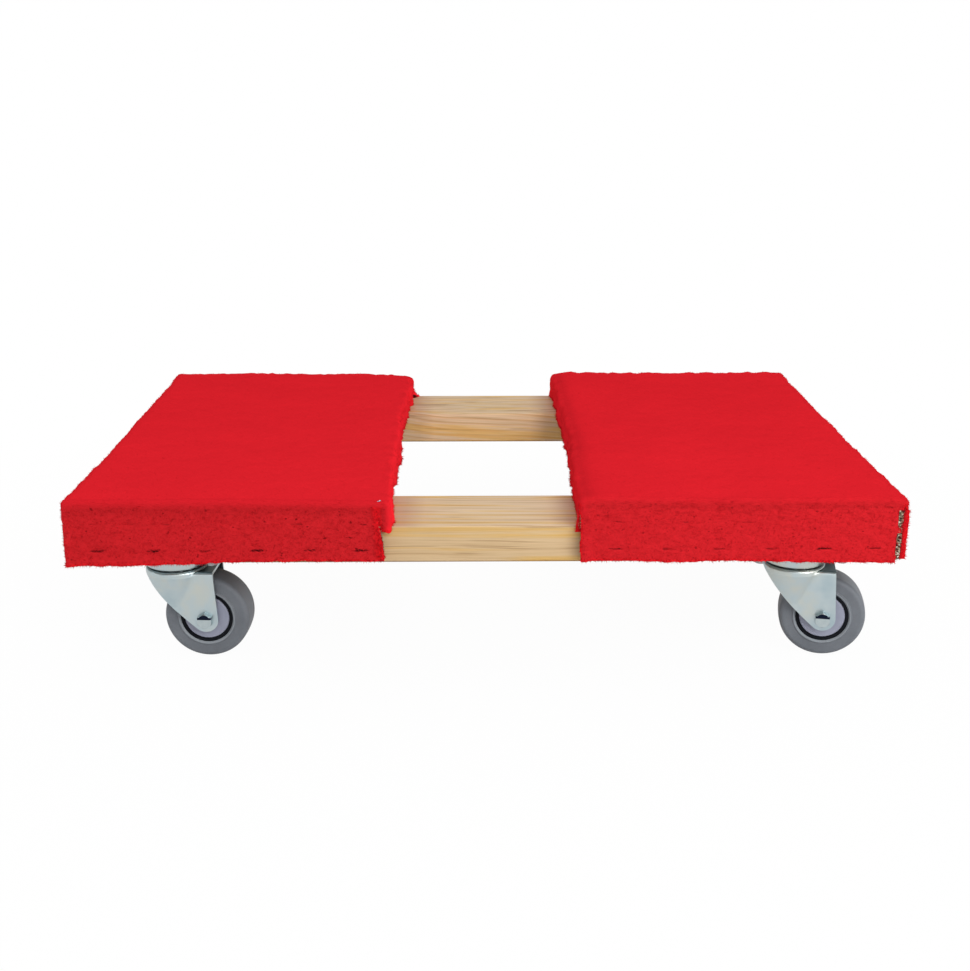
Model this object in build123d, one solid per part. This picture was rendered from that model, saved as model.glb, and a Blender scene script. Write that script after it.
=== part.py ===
from build123d import *
import os
from math import asin, cos, floor, pi, radians, sin, sqrt

# A carpet-ended furniture dolly on four swivel castors, in millimetres.
# The origin is on the floor under the middle. X runs along the rails, Y to the back, Z up.

# Overall sizes, over the carpet
overall_length = 750.0
overall_width = 506.0
centre_gap = 171.0

# Timber
rail_width = 88.0
rail_thickness = 35.0
rail_edge_radius = 2.0
deck_thickness = 18.0
deck_edge_radius = 2.5

# Carpet
carpet_thickness = 8.5
carpet_edge_radius = 6.0
flap_short = 3.0
flap_lift = 0.5
corner_slit = 1.0

# Wheel
wheel_diameter = 80.0
tyre_width = 31.0
tyre_shoulder = 5.0
tyre_crown = 0.8
tyre_bore_radius = 24.5
tyre_bore_chamfer = 1.2
tyre_lip_width = 1.2
tyre_lip_height = 0.8
tongue_height = 2.0
tongue_width = 10.0
core_rim_width = 30.0
core_rim_thickness = 3.0
core_web_width = 9.0
hub_radius = 12.0
hub_length = 26.0
guard_radius = 21.0
guard_thickness = 1.6
guard_collar_radius = 9.5
bush_wall = 2.5

# Axle
axle_diameter = 8.0
sleeve_diameter = 12.0
axle_head_flats = 13.0
axle_head_height = 5.3
axle_head_turn = 30.0
axle_nut_height = 8.0
axle_nut_collar = 2.2
axle_nut_collar_radius = 5.8
axle_end = 2.0

# Castor fork and swivel head
sheet = 2.5
leg_spacing = 38.0
castor_trail = 28.5
boss_radius = 12.0
fork_rear = 9.0
fork_front_angle = 52.0
fork_front_bow = 2.5
waist_radius = 10.0
bend_radius = 3.0
bend_straight = 1.0
draw_depth = 30.0
nose_bulge = 0.5
crown_radius = 29.0
crown_rim_radius = 3.0
shelf_drop = 2.0
race_gap = 1.2
race_radius = 20.5
ball_diameter = 7.0
lower_race_radius = 10.0
lower_ball_diameter = 4.5
lower_groove_depth = 1.0
ball_spacing = 1.08
retainer_thickness = 1.6
retainer_groove_depth = 0.8
retainer_radius = 15.0
retainer_lip = 1.4
retainer_lip_height = 1.8
kingpin_diameter = 12.0
kingpin_low_head = 17.0
kingpin_low_height = 3.5
kingpin_top_head = 21.0
kingpin_top_height = 5.0
crown_bore_clearance = 1.5

# Castor top plate
plate_length = 95.0
plate_width = 70.0
plate_corner = 9.0
plate_hole_pitch_x = 75.0
plate_hole_pitch_y = 50.0
plate_slot_length = 10.0
plate_slot_width = 7.0
dish_depth = 14.5
dish_draft = 2.0
castor_inset = 85.5

# Fasteners
castor_screw_diameter = 6.0
castor_screw_length = 30.0
castor_screw_flats = 10.0
castor_screw_head = 4.2
washer_diameter = 15.0
washer_thickness = 1.4
deck_screw_diameter = 4.0
deck_screw_head = 8.0
deck_screw_length = 42.0
deck_screws_per_joint = 3
deck_screw_margin = 26.0
screw_point = 5.0
staple_width = 10.0
staple_leg = 11.0
staple_wire = 1.2
staple_sink = 3.0
staple_low_spacing = 46.0
staple_deck_spacing = 56.0
staple_margin = 20.0
staple_low_height = 15.0
staple_deck_height = 5.0

# Clearances
running_clearance = 0.06
ball_clearance = 0.12
fixed_clearance = 0.05
guard_clearance = 0.4
kingpin_wheel_clearance = 3.2
hole_clearance = 0.2
axle_seat_clearance = 0.4

# Heights in the castor, from the floor up
wheel_radius = wheel_diameter / 2
kingpin_reach = castor_trail - kingpin_low_head / 2
kingpin_bottom = wheel_radius + sqrt((wheel_radius + kingpin_wheel_clearance) ** 2 - kingpin_reach**2)
retainer_bottom = kingpin_bottom + kingpin_low_height
retainer_top = retainer_bottom + retainer_thickness
lower_ball_radius = lower_ball_diameter / 2
lower_ball_height = retainer_top - retainer_groove_depth + lower_ball_radius + ball_clearance
crown_bottom = lower_ball_height + ball_clearance + lower_ball_radius - lower_groove_depth
crown_top = crown_bottom + sheet
ball_radius = ball_diameter / 2
ball_height = crown_top + race_gap / 2
groove_radius = ball_radius + ball_clearance
bulge_radius = groove_radius + sheet
dish_bottom = crown_top + race_gap
dish_floor = dish_bottom + sheet
castor_height = dish_bottom + dish_depth
plate_bottom = castor_height - sheet
shelf_top = crown_top - shelf_drop
shelf_bottom = shelf_top - sheet
draw_top = shelf_top - bend_radius - bend_straight
draw_bottom = draw_top - draw_depth

# Timber, carpet and castor places
rail_bottom = castor_height
rail_top = rail_bottom + rail_thickness
deck_top = rail_top + deck_thickness
carpet_top = deck_top + carpet_thickness
flap_bottom = rail_bottom + flap_short
frame_half_length = overall_length / 2 - carpet_thickness
frame_half_width = overall_width / 2 - carpet_thickness
rail_y = frame_half_width - rail_width / 2
deck_inner = centre_gap / 2 + carpet_thickness
deck_length = frame_half_length - deck_inner
deck_middle = (frame_half_length + deck_inner) / 2
castor_x = overall_length / 2 - castor_inset
leg_outer = leg_spacing / 2 + sheet

# Positions that repeat
corners = {
    "front_left": (-1, -1),
    "front_right": (1, -1),
    "rear_left": (-1, 1),
    "rear_right": (1, 1),
}
castor_turns = {
    "front_left": -3.0,
    "front_right": -11.0,
    "rear_left": 0.0,
    "rear_right": 0.0,
}
plate_holes = [
    (sx * plate_hole_pitch_x / 2, sy * plate_hole_pitch_y / 2)
    for sx in (-1, 1)
    for sy in (-1, 1)
]
base = (Align.CENTER, Align.CENTER, Align.MIN)
top = (Align.CENTER, Align.CENTER, Align.MAX)


def castor_place(corner):
    """Where the swivel axis of a castor stands."""
    side_x, side_y = corners[corner]
    return Pos(side_x * castor_x, side_y * rail_y, 0)


def castor_screw_spots(side_y):
    """The castor screws that go into one rail."""
    spots = []
    for side_x in (-1, 1):
        for dx, dy in plate_holes:
            spots.append((side_x * castor_x + dx, side_y * rail_y + dy))
    return spots


def deck_screw_spots(side_x, side_y):
    """The screws that hold one deck to one rail."""
    first = -deck_length / 2 + deck_screw_margin
    step = (deck_length - 2 * deck_screw_margin) / (deck_screws_per_joint - 1)
    return [
        (side_x * deck_middle + first + i * step, side_y * rail_y)
        for i in range(deck_screws_per_joint)
    ]


def rail(side_y):
    """A rail lying flat, with eased edges and pilot holes for both kinds of screw."""
    body = Box(2 * frame_half_length, rail_width, rail_thickness, align=base)
    body = fillet(body.edges().filter_by(Axis.X), rail_edge_radius)
    body = Pos(0, side_y * rail_y, rail_bottom) * body
    castor_pilot = castor_screw_diameter / 2 + fixed_clearance
    for x, y in castor_screw_spots(side_y):
        drill = Cylinder(castor_pilot, castor_screw_length - sheet - washer_thickness + 1, align=base)
        body -= Pos(x, y, rail_bottom) * drill
    deck_pilot = deck_screw_diameter / 2 + fixed_clearance
    for side_x in (-1, 1):
        for x, y in deck_screw_spots(side_x, side_y):
            drill = Cylinder(deck_pilot, deck_screw_length - deck_thickness + 1, align=top)
            body -= Pos(x, y, rail_top) * drill
    return body


def countersunk_blank(clearance, length):
    """A countersunk screw shape with its face at the origin, pointing down, grown by a clearance."""
    shank = deck_screw_diameter / 2 + clearance
    head = deck_screw_head / 2 + clearance
    return Cone(shank, head, head - shank, align=top) + Cylinder(shank, length, align=top)


def deck(side_x):
    """A deck panel, countersunk over each rail."""
    body = Box(deck_length, 2 * frame_half_width, deck_thickness, align=base)
    body = fillet(body.edges(), deck_edge_radius)
    body = Pos(side_x * deck_middle, 0, rail_top) * body
    for side_y in (-1, 1):
        for x, y in deck_screw_spots(side_x, side_y):
            body -= Pos(x, y, deck_top) * countersunk_blank(fixed_clearance, 2 * deck_thickness)
    return body


def deck_screws():
    """All the countersunk screws, pointed at the lower end."""
    shank = deck_screw_diameter / 2
    screw = countersunk_blank(0, deck_screw_length - screw_point)
    screw += Pos(0, 0, -deck_screw_length) * Cone(0, shank, screw_point, align=base)
    return [
        Pos(x, y, deck_top) * screw
        for side_x in (-1, 1)
        for side_y in (-1, 1)
        for x, y in deck_screw_spots(side_x, side_y)
    ]


def carpet(side_x):
    """A carpet folded over a deck: top, front and back flaps, end flap and a short inner flap."""
    depth = carpet_top - flap_bottom
    length = overall_length / 2 - centre_gap / 2
    middle = side_x * (overall_length / 2 + centre_gap / 2) / 2
    body = Pos(middle, 0, flap_bottom) * Box(length, overall_width, depth, align=base)
    body = fillet(body.edges() - body.faces().sort_by(Axis.Z)[0].edges(), carpet_edge_radius)
    inside = Box(deck_length, 2 * frame_half_width, deck_top - flap_bottom, align=base)
    body -= Pos(side_x * deck_middle, 0, flap_bottom) * inside
    below = Box(carpet_thickness, overall_width, rail_top + flap_lift - flap_bottom, align=base)
    inner_x = side_x * (centre_gap / 2 + carpet_thickness / 2)
    body -= Pos(inner_x, 0, flap_bottom) * below
    cut_depth = carpet_thickness + corner_slit
    for side_y in (-1, 1):
        cut_y = side_y * (overall_width / 2 - cut_depth / 2)
        notch = Box(carpet_thickness, cut_depth, deck_top - flap_bottom, align=base)
        body -= Pos(inner_x, cut_y, flap_bottom) * notch
        slit = Box(corner_slit, cut_depth, deck_top - flap_bottom, align=base)
        body -= Pos(side_x * (frame_half_length + corner_slit / 2), cut_y, flap_bottom) * slit
    return body


def spread(length, spacing):
    """Even staple positions along a flap of this length, about its middle."""
    run = length - 2 * staple_margin
    count = floor(run / spacing) + 1
    step = run / (count - 1)
    return [-run / 2 + i * step for i in range(count)]


def staple():
    """A flat-wire staple, its crown along X and its legs along +Y, the crown face at the origin."""
    outline = Rectangle(staple_width, staple_leg, align=(Align.CENTER, Align.MIN))
    inner = Rectangle(staple_width - 2 * staple_wire, staple_leg, align=(Align.CENTER, Align.MIN))
    outline -= Pos(0, staple_wire) * inner
    return extrude(outline, staple_wire / 2, both=True)


def staples(side_x):
    """The staples of one carpet, sunk into the pile."""
    rows = {
        rail_bottom + staple_low_height: staple_low_spacing,
        rail_top + staple_deck_height: staple_deck_spacing,
    }
    found = []
    for side_y in (-1, 1):
        for height, spacing in rows.items():
            for x in spread(deck_length, spacing):
                spot = Pos(side_x * deck_middle + x, side_y * (overall_width / 2 - staple_sink), height)
                found.append(spot * Rot(0, 0, 0 if side_y < 0 else 180) * staple())
            spot = Pos(side_x * (overall_length / 2 - staple_sink), side_y * rail_y, height)
            found.append(spot * Rot(0, 0, 90 * side_x) * staple())
    for y in spread(2 * (rail_y - rail_width / 2), staple_deck_spacing):
        height = rail_top + staple_deck_height
        outer = Pos(side_x * (overall_length / 2 - staple_sink), y, height)
        found.append(outer * Rot(0, 0, 90 * side_x) * staple())
        inner = Pos(side_x * (centre_gap / 2 + staple_sink), y, height)
        found.append(inner * Rot(0, 0, -90 * side_x) * staple())
    return found


def hexagon(flats):
    """A hexagon by its width across flats."""
    return RegularPolygon(flats / 2, 6, major_radius=False)


def hex_head(flats, height):
    """A hexagon head standing on the origin, its upper corners turned off."""
    turned = Cone(flats / 2 + height, flats / 2 - 0.1 * height, 1.1 * height, align=base)
    return extrude(hexagon(flats), height) & turned


def castor_screws():
    """The coach screws of all four castors, driven from below."""
    shank = castor_screw_diameter / 2
    straight = castor_screw_length - screw_point
    screw = Cylinder(shank, straight, align=base)
    screw += Pos(0, 0, straight) * Cone(shank, 0, screw_point, align=base)
    screw += Rot(180, 0, 0) * hex_head(castor_screw_flats, castor_screw_head)
    seat = plate_bottom - washer_thickness
    return [Pos(x, y, seat) * screw for side_y in (-1, 1) for x, y in castor_screw_spots(side_y)]


def castor_washers():
    """A washer under the head of each coach screw."""
    ring = Circle(washer_diameter / 2) - Circle(castor_screw_diameter / 2 + hole_clearance)
    washer = extrude(ring, washer_thickness)
    seat = plate_bottom - washer_thickness
    return [Pos(x, y, seat) * washer for side_y in (-1, 1) for x, y in castor_screw_spots(side_y)]


def section(points):
    """A straight-sided half-section in the XZ plane, from radius and height pairs."""
    return make_face(Polyline([(r, 0, z) for r, z in points], close=True))


def castor_plate():
    """The top plate: a flange with slotted corners, and a dish pressed down to carry the ball race."""
    flange = RectangleRounded(plate_length, plate_width, plate_corner)
    flange -= Circle(crown_radius)
    for x, y in plate_holes:
        flange -= Pos(x, y) * SlotOverall(plate_slot_length, plate_slot_width)
    body = Pos(0, 0, plate_bottom) * extrude(flange, sheet)
    wall_top = crown_radius + dish_draft
    bore = kingpin_diameter / 2 + fixed_clearance
    dish = section([
        (bore, dish_bottom),
        (crown_radius, dish_bottom),
        (wall_top, plate_bottom),
        (wall_top + sheet, plate_bottom),
        (wall_top + sheet, castor_height),
        (wall_top - sheet, castor_height),
        (crown_radius - sheet, dish_floor),
        (bore, dish_floor),
    ])
    body += revolve(dish, Axis.Z)
    bulge = Pos(0, 0, ball_height) * Torus(race_radius, bulge_radius)
    body += bulge & Pos(0, 0, dish_bottom) * Cylinder(crown_radius - sheet, dish_depth, align=base)
    body -= Pos(0, 0, ball_height) * Torus(race_radius, groove_radius)
    rim = body.edges().filter_by(GeomType.CIRCLE).filter_by(
        lambda e: abs(e.radius - crown_radius) < 0.01 and abs(e.center().Z - dish_bottom) < 0.01
    )
    return fillet(rim, crown_rim_radius)


def kingpin():
    """The riveted pin that ties the plate to the lower race, with a bevelled head at each end."""
    shank = kingpin_diameter / 2
    low = kingpin_low_head / 2
    high = kingpin_top_head / 2
    ledge = kingpin_low_height / 3
    crest = dish_floor + kingpin_top_height
    return revolve(section([
        (0, kingpin_bottom),
        (shank, kingpin_bottom),
        (low, kingpin_bottom + ledge),
        (low, retainer_bottom),
        (shank, retainer_bottom),
        (shank, dish_floor),
        (high, dish_floor),
        (high, dish_floor + ledge),
        (shank, crest),
        (0, crest),
    ]), Axis.Z)


def race_retainer():
    """The cup under the fork that carries the lower balls."""
    bore = kingpin_diameter / 2 + fixed_clearance
    cup = section([
        (bore, retainer_bottom),
        (retainer_radius, retainer_bottom),
        (retainer_radius, retainer_top + retainer_lip_height),
        (retainer_radius - retainer_lip, retainer_top + retainer_lip_height),
        (retainer_radius - retainer_lip, retainer_top),
        (bore, retainer_top),
    ])
    groove = Torus(lower_race_radius, lower_ball_radius + ball_clearance)
    return revolve(cup, Axis.Z) - Pos(0, 0, lower_ball_height) * groove


def ball_ring(radius, diameter, height):
    """A full ring of balls, with a little room between them."""
    step = 2 * asin(ball_spacing * diameter / 2 / radius)
    count = floor(2 * pi / step)
    ball = Sphere(diameter / 2)
    turns = [2 * pi * i / count for i in range(count)]
    return [Pos(radius * cos(a), radius * sin(a), height) * ball for a in turns]


def race_balls():
    """The upper and the lower balls of one castor."""
    upper = ball_ring(race_radius, ball_diameter, ball_height)
    return upper + ball_ring(lower_race_radius, lower_ball_diameter, lower_ball_height)


def fork_side():
    """The outline of a fork leg seen from the side: boss, upright rear edge and swept front edge."""
    nose = (-crown_radius, crown_bottom)
    angle = radians(180 + fork_front_angle)
    toe = (castor_trail + boss_radius * cos(angle), wheel_radius + boss_radius * sin(angle))
    span = sqrt((toe[0] - nose[0]) ** 2 + (toe[1] - nose[1]) ** 2)
    bow = ((nose[1] - toe[1]) / span * -fork_front_bow, (toe[0] - nose[0]) / span * -fork_front_bow)
    middle = ((toe[0] + nose[0]) / 2 + bow[0], (toe[1] + nose[1]) / 2 + bow[1])
    heel = (castor_trail + boss_radius, wheel_radius)
    foot = (castor_trail, wheel_radius - boss_radius)
    rear = (castor_trail + fork_rear, crown_top)
    front = (-crown_radius, crown_top)

    def at(point):
        return (point[0], 0, point[1])

    edges = [
        Line(at(rear), at(heel)),
        ThreePointArc(at(heel), at(foot), at(toe)),
        ThreePointArc(at(toe), at(middle), at(nose)),
        Line(at(nose), at(front)),
        Line(at(front), at(rear)),
    ]
    return make_face(edges)


def fork_outline(radius, inset):
    """The fork in plan, shrunk by an inset: a round front, two straight legs and a waist between them."""
    front = radius - inset
    half = leg_outer - inset
    outline = Circle(front) + Rectangle(3 * wheel_radius, 2 * half, align=(Align.MIN, Align.CENTER))
    meeting = sqrt(front**2 - half**2)
    waist = outline.vertices().filter_by(lambda v: abs(v.X - meeting) < 0.01)
    return fillet(waist, waist_radius + inset)


def fork_form(inset, height):
    """The drawn form of the fork: upright at the top, then narrowing from the crown to the legs."""
    upper = fork_outline(crown_radius, inset)
    lower = fork_outline(leg_outer + nose_bulge, inset)
    form = Pos(0, 0, draw_top) * extrude(upper, height - draw_top)
    form += loft([Pos(0, 0, draw_bottom) * lower, Pos(0, 0, draw_top) * upper], ruled=True)
    return form + extrude(lower, draw_bottom)


def fork():
    """The pressed fork: a drawn channel cut to the leg outline, under a raised round crown with the race."""
    body = fork_form(0, shelf_top)
    body = fillet(body.faces().sort_by(Axis.Z)[-1].edges(), bend_radius)
    crown = Pos(0, 0, draw_top) * Cylinder(crown_radius, crown_top - draw_top, align=base)
    crown = fillet(crown.faces().sort_by(Axis.Z)[-1].edges(), crown_rim_radius)
    body += crown
    body -= fork_form(sheet, shelf_bottom)
    body -= Pos(0, 0, draw_top) * Cylinder(crown_radius - sheet, crown_bottom - draw_top, align=base)
    body &= extrude(fork_side(), crown_radius, both=True)

    bulge = Pos(0, 0, ball_height) * Torus(race_radius, bulge_radius)
    body += bulge & Pos(0, 0, crown_top) * Cylinder(crown_radius, crown_top, align=top)
    body -= Pos(0, 0, ball_height) * Torus(race_radius, groove_radius)
    body -= Pos(0, 0, lower_ball_height) * Torus(lower_race_radius, lower_ball_radius + ball_clearance)
    body -= Cylinder(kingpin_diameter / 2 + crown_bore_clearance, 2 * castor_height)
    bolt_hole = Cylinder(axle_diameter / 2 + hole_clearance, 4 * leg_outer)
    body -= axle_place() * bolt_hole
    seat = Cylinder(axle_head_flats / sqrt(3) + axle_seat_clearance, leg_outer, align=base)
    for turn in (0, 180):
        body -= axle_place() * Rot(turn, 0, 0) * Pos(0, 0, leg_outer) * seat
    return body


def axle_place():
    """Where the axle runs: local Z points to the front."""
    return Pos(castor_trail, 0, wheel_radius) * Rot(90, 0, 0)


def axle_bolt():
    """A hexagon bolt through both legs, its head to the front."""
    length = 2 * leg_outer + axle_nut_height + axle_nut_collar + axle_end
    head = Rot(0, 0, axle_head_turn) * hex_head(axle_head_flats, axle_head_height)
    body = Pos(0, 0, leg_outer) * head
    body += Pos(0, 0, leg_outer) * Cylinder(axle_diameter / 2, length, align=top)
    return axle_place() * body


def axle_nut():
    """A locking nut on the back leg, with its round collar."""
    body = hex_head(axle_head_flats, axle_nut_height)
    body += Pos(0, 0, axle_nut_height) * Cylinder(axle_nut_collar_radius, axle_nut_collar, align=base)
    body -= Cylinder(axle_diameter / 2 + fixed_clearance, 4 * axle_nut_height)
    return axle_place() * Rot(180, 0, 0) * Pos(0, 0, leg_outer) * body


def axle_sleeve():
    """The steel tube that the legs clamp and the wheel turns on."""
    ring = Circle(sleeve_diameter / 2) - Circle(axle_diameter / 2 + fixed_clearance)
    return axle_place() * extrude(ring, leg_spacing / 2, both=True)


def thread_guards():
    """A disc on each side of the wheel, spaced off the leg by its collar."""
    inner = hub_length / 2 + guard_clearance
    outer = leg_spacing / 2 - fixed_clearance
    bore = sleeve_diameter / 2 + fixed_clearance
    disc = section([
        (bore, inner),
        (guard_radius, inner),
        (guard_radius, inner + guard_thickness / 2),
        (guard_radius - guard_thickness / 2, inner + guard_thickness),
        (guard_collar_radius, inner + guard_thickness),
        (guard_collar_radius, outer),
        (bore, outer),
    ])
    guard = revolve(disc, Axis.Z)
    return [axle_place() * guard, axle_place() * Rot(180, 0, 0) * guard]


def tyre():
    """The tyre: a rounded tread, a raised lip round the bore and a groove that locks on the core."""
    half = tyre_width / 2
    side = wheel_radius - tyre_crown
    bore = tyre_bore_radius
    key = tongue_width / 2 + fixed_clearance
    crest = half + tyre_lip_height
    lip_inner = bore + tyre_bore_chamfer
    lip_outer = lip_inner + tyre_lip_width
    profile = [
        (side, half),
        (lip_outer + tyre_lip_height, half),
        (lip_outer, crest),
        (lip_inner, crest),
        (bore, crest - tyre_bore_chamfer),
        (bore, key),
        (bore + tongue_height + fixed_clearance, key),
    ]
    mirrored = [(r, -z) for r, z in reversed(profile)]
    outline = Polyline([(r, 0, z) for r, z in profile + mirrored])
    outline += ThreePointArc((side, 0, -half), (wheel_radius, 0, 0), (side, 0, half))
    body = revolve(make_face(outline.edges()), Axis.Z)
    shoulders = body.edges().filter_by(GeomType.CIRCLE).filter_by(lambda e: abs(e.radius - side) < 0.01)
    return axle_place() * fillet(shoulders, tyre_shoulder)


def wheel_core():
    """The moulded wheel: hub, web, rim and the tongue that holds the tyre."""
    rim_outer = tyre_bore_radius - fixed_clearance
    rim_inner = rim_outer - core_rim_thickness
    bore = sleeve_diameter / 2 + running_clearance + bush_wall + fixed_clearance
    half = [
        (bore, hub_length / 2),
        (hub_radius, hub_length / 2),
        (hub_radius, core_web_width / 2),
        (rim_inner, core_web_width / 2),
        (rim_inner, core_rim_width / 2),
        (rim_outer, core_rim_width / 2),
        (rim_outer, tongue_width / 2),
        (rim_outer + tongue_height, tongue_width / 2),
    ]
    mirrored = [(r, -z) for r, z in reversed(half)]
    return axle_place() * revolve(section(half + mirrored), Axis.Z)


def bush():
    """The plain bearing in the hub, running on the sleeve."""
    inner = sleeve_diameter / 2 + running_clearance
    ring = Circle(inner + bush_wall) - Circle(inner)
    return axle_place() * extrude(ring, hub_length / 2, both=True)


def write(name, shapes):
    """Write one node, whose solids stay separate."""
    solids = [solid for shape in shapes for solid in shape.solids()]
    export_step(Compound(solids) if len(solids) > 1 else solids[0], f"parts/{name}.step")


os.makedirs("parts", exist_ok=True)

write("rail_front", [rail(-1)])
write("rail_rear", [rail(1)])
for side, sign in (("left", -1), ("right", 1)):
    write(f"deck_{side}", [deck(sign)])
    write(f"carpet_{side}", [carpet(sign)])
    write(f"staples_{side}", staples(sign))
write("deck_screws", deck_screws())
write("castor_screws", castor_screws())
write("castor_washers", castor_washers())

fixed_pieces = {
    "castor_plate": [castor_plate()],
    "kingpin": [kingpin()],
    "race_retainer": [race_retainer()],
}
swivel_pieces = {
    "race_balls": race_balls(),
    "fork": [fork()],
    "axle_bolt": [axle_bolt()],
    "axle_nut": [axle_nut()],
    "axle_sleeve": [axle_sleeve()],
    "thread_guards": thread_guards(),
    "tyre": [tyre()],
    "wheel_core": [wheel_core()],
    "bush": [bush()],
}
for corner in corners:
    fixed = castor_place(corner)
    turned = fixed * Rot(0, 0, castor_turns[corner])
    for piece, shapes in fixed_pieces.items():
        write(f"{piece}_{corner}", [fixed * shape for shape in shapes])
    for piece, shapes in swivel_pieces.items():
        write(f"{piece}_{corner}", [turned * shape for shape in shapes])
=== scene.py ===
import itertools
import math
from types import SimpleNamespace

import bpy
import numpy as np
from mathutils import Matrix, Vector


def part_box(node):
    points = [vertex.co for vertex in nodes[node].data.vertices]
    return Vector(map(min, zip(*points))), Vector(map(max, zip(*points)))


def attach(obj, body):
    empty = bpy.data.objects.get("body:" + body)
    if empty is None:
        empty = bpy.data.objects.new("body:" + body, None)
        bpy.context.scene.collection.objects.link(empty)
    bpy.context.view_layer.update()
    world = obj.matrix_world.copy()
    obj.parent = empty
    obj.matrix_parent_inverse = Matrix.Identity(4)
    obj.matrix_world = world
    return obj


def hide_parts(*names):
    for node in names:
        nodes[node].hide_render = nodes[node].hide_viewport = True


# A carpet-ended furniture dolly. Metres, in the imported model's frame: X along the rails, Y back, Z up.
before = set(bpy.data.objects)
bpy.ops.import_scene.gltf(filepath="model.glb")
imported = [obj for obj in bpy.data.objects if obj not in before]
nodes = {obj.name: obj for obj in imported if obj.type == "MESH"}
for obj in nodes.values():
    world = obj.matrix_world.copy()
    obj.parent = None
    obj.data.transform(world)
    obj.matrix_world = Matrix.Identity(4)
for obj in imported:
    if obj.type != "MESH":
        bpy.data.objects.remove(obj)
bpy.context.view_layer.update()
scene = bpy.context.scene
scene.view_settings.view_transform = "Standard"

CORNERS = ("front_left", "front_right", "rear_left", "rear_right")
SIDES = {"left": -1, "right": 1}
MM = 0.001
WHITE = (1.0, 1.0, 1.0)
BLACK = (0.0, 0.0, 0.0)
MATT = {"Roughness": 1.0, "Specular IOR Level": 0.0}
rail_low, rail_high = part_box("rail_front")
rear_low, rear_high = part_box("rail_rear")
gap_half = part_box("carpet_right")[0].x


def placed(name, data):
    """A new object in the scene."""
    made = bpy.data.objects.new(name, data)
    scene.collection.objects.link(made)
    return made


def hold(mesh, name, values):
    """Stores a value at each point of a mesh."""
    mesh.attributes.new(name, "FLOAT", "POINT").data.foreach_set("value", values)


# Material helpers

def put(socket, value):
    """Sets a socket, or links it to another."""
    if isinstance(value, bpy.types.NodeSocket):
        socket.id_data.links.new(value, socket)
    else:
        socket.default_value = value


def node_maker(tree):
    """A function that adds a node to a tree, from its kind, its sockets and its settings."""
    def add(kind, inputs=None, **settings):
        made = tree.nodes.new("ShaderNode" + kind)
        for key, value in settings.items():
            setattr(made, key, value)
        for key, value in (inputs or {}).items():
            put(made.inputs[key], value)
        return made

    return add


def make_material(name):
    """For a new material: a function that adds nodes, and one that fills its shader and returns it."""
    material = bpy.data.materials.new(name)
    material.use_nodes = True
    shader = material.node_tree.nodes["Principled BSDF"]

    def paint(sockets):
        for key, value in sockets.items():
            put(shader.inputs[key], value)
        return material

    return node_maker(material.node_tree), paint


def ramp(add, factor, stops):
    """A colour ramp over a factor, from (position, colour) stops."""
    made = add("ValToRGB", {"Fac": factor})
    elements = made.color_ramp.elements
    while len(elements) < len(stops):
        elements.new(0.5)
    for element, (position, colour) in zip(elements, stops):
        element.position = position
        element.color = (*colour, 1.0)
    return made.outputs["Color"]


def fading(add, factor, low, colour, high):
    """A colour that fades to white as a factor rises from low to high."""
    return ramp(add, factor, [(low, colour), (high, WHITE)])


def noise_over(add, source, scale, detail=3.0, rough=0.6):
    """Noise over a coordinate, with its own number of features per metre on each axis."""
    place = add("Mapping", {"Vector": source, "Scale": scale}).outputs["Vector"]
    inputs = {"Vector": place, "Scale": 1.0, "Detail": detail, "Roughness": rough}
    return add("TexNoise", inputs).outputs["Fac"]


def own_place(add):
    """The object's own coordinates."""
    return add("TexCoord").outputs["Object"]


def grain(add, scale, detail=3.0):
    """Noise over the object's own coordinates, with one scale or one for each axis."""
    scale = scale if isinstance(scale, tuple) else (scale, scale, scale)
    return noise_over(add, own_place(add), scale, detail)


def attribute(add, name):
    """A value that the mesh holds at each point."""
    return add("Attribute", attribute_name=name).outputs["Fac"]


def mixed(add, factor, first, second, blend="MIX"):
    """Two colours mixed by a factor."""
    first, second = ((*c, 1.0) if isinstance(c, tuple) else c for c in (first, second))
    made = add("Mix", {0: factor, 6: first, 7: second}, data_type="RGBA", blend_type=blend)
    return made.outputs[2]


def times(add, colour, *layers):
    """A colour multiplied by others."""
    for layer in layers:
        colour = mixed(add, 1.0, colour, layer, "MULTIPLY")
    return colour


def calc(add, operation, *values):
    """One math step."""
    return add("Math", dict(enumerate(values)), operation=operation).outputs[0]


def scaled(add, value, by, plus):
    """A value times a second one, plus a third."""
    return calc(add, "MULTIPLY_ADD", value, by, plus)


def ranged(add, value, low, high, to_low=0.0, to_high=1.0):
    """A value carried from one range to another."""
    inputs = {"Value": value, "From Min": low, "From Max": high, "To Min": to_low, "To Max": to_high}
    return add("MapRange", inputs).outputs["Result"]


def along_z(add, vector):
    """The upward part of a vector."""
    return add("SeparateXYZ", {"Vector": vector}).outputs["Z"]


def facing_up(add):
    """How far a face turns upwards, from -1 to 1."""
    return along_z(add, add("NewGeometry").outputs["True Normal"])


def bump(add, height, strength, distance):
    """The normal of a surface roughened by a height."""
    return add("Bump", {"Height": height, "Strength": strength, "Distance": distance}).outputs["Normal"]


# Materials

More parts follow.
